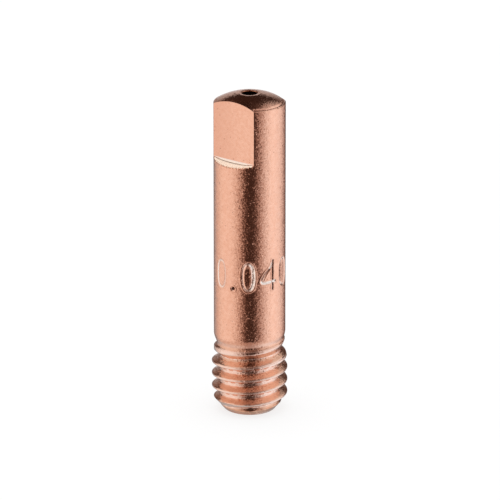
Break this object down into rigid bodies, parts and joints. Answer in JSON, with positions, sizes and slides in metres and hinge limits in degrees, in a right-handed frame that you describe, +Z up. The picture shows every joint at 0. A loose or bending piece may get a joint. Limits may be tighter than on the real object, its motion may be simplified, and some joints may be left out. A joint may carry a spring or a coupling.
{
  "type": "welding contact tip",
  "caption": "Copper contact tip with a domed nose, two spanner flats, a through wire bore and a rolled M6 thread; guides welding wire and carries current to it.",
  "frame": {"origin": "centre of the thread's end face", "axes": "+Z up the wire bore towards the nose; the spanner flats face -Y and +Y"},
  "size_m": [0.0058, 0.0058, 0.0254],
  "materials": {
    "copper": null
  },
  "bodies": {
    "root": {"contact_tip": "copper"}
  },
  "joints": []
}
